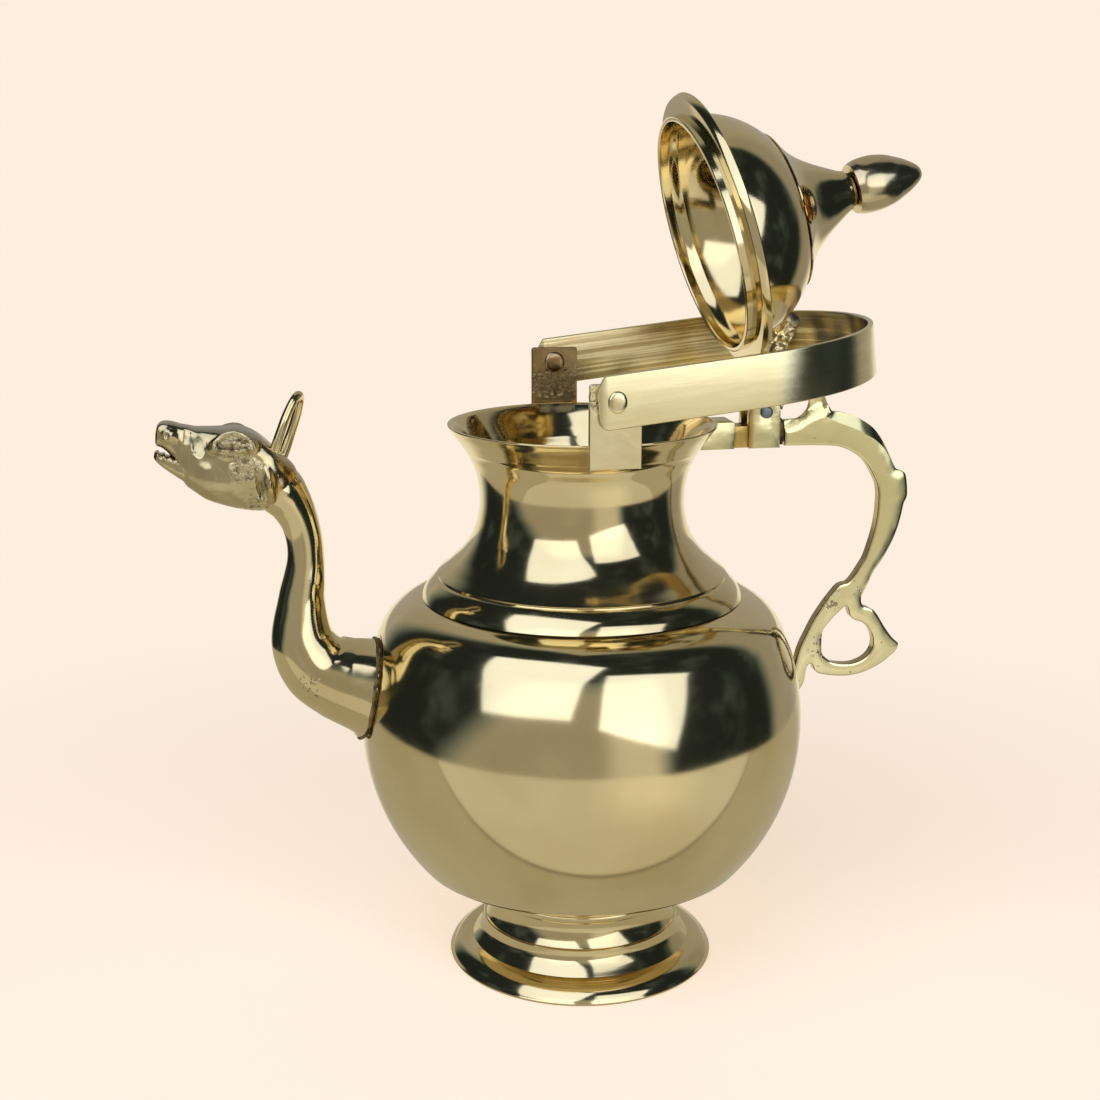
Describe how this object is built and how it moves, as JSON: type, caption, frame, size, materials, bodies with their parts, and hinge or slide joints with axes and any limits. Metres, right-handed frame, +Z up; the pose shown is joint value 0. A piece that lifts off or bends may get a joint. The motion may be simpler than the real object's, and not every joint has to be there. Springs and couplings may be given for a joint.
{
  "type": "kamandal water pot",
  "caption": "Brass ritual water pot with a swan-neck spout, a hinged domed lid, a folding strap bail and a flat side handle.",
  "frame": {"origin": "middle of the base of the whole object's box, on the surface it stands on", "axes": "+Z up along the pot's axis, +X towards the side handle and the opened lid, the spout points to -X"},
  "size_m": [0.271, 0.16, 0.3127],
  "materials": {
    "polished_brass": "polished, mirror-like with faint turning lines",
    "cast_brass": "cast, filed and half polished, with pits",
    "satin_brass": "brushed satin",
    "solder": "rough brazing, dark with scale",
    "steel": "filed pin end"
  },
  "bodies": {
    "pot": {"foot": "polished_brass", "belly": "polished_brass", "neck": "polished_brass", "spout_tube": "polished_brass", "spout_solder_ring": "solder", "spout_head": "cast_brass", "crest_ring": "polished_brass", "bail_lug_front": "satin_brass", "bail_lug_rear": "satin_brass", "lug_solder_front": "solder", "lug_solder_rear": "solder", "bail_rivet_front": "satin_brass", "bail_rivet_rear": "satin_brass", "hinge_bracket": "cast_brass", "hinge_pin": "steel", "handle_top_solder": "solder", "side_handle": "satin_brass", "handle_foot_solder": "solder"},
    "bail": {"bail_strap": "satin_brass"},
    "lid": {"lid_dome": "polished_brass", "lid_cone": "polished_brass", "finial_stem": "polished_brass", "finial_bud": "polished_brass", "lid_lug": "cast_brass"}
  },
  "joints": [
    {"name": "lid_hinge", "type": "hinge", "parent": "pot", "child": "lid", "pos_m": [0.07865, 0, 0.2026], "axis": [0, 1, 0], "range_deg": [-74, 0]},
    {"name": "bail_hinge", "type": "hinge", "parent": "pot", "child": "bail", "pos_m": [0.01285, 0, 0.2151], "axis": [0, 1, 0], "range_deg": [-83.5, 0]}
  ],
  "couplings": [
    {"joint": "bail_hinge", "follows": "lid_hinge", "ratio": 1.1283}
  ]
}
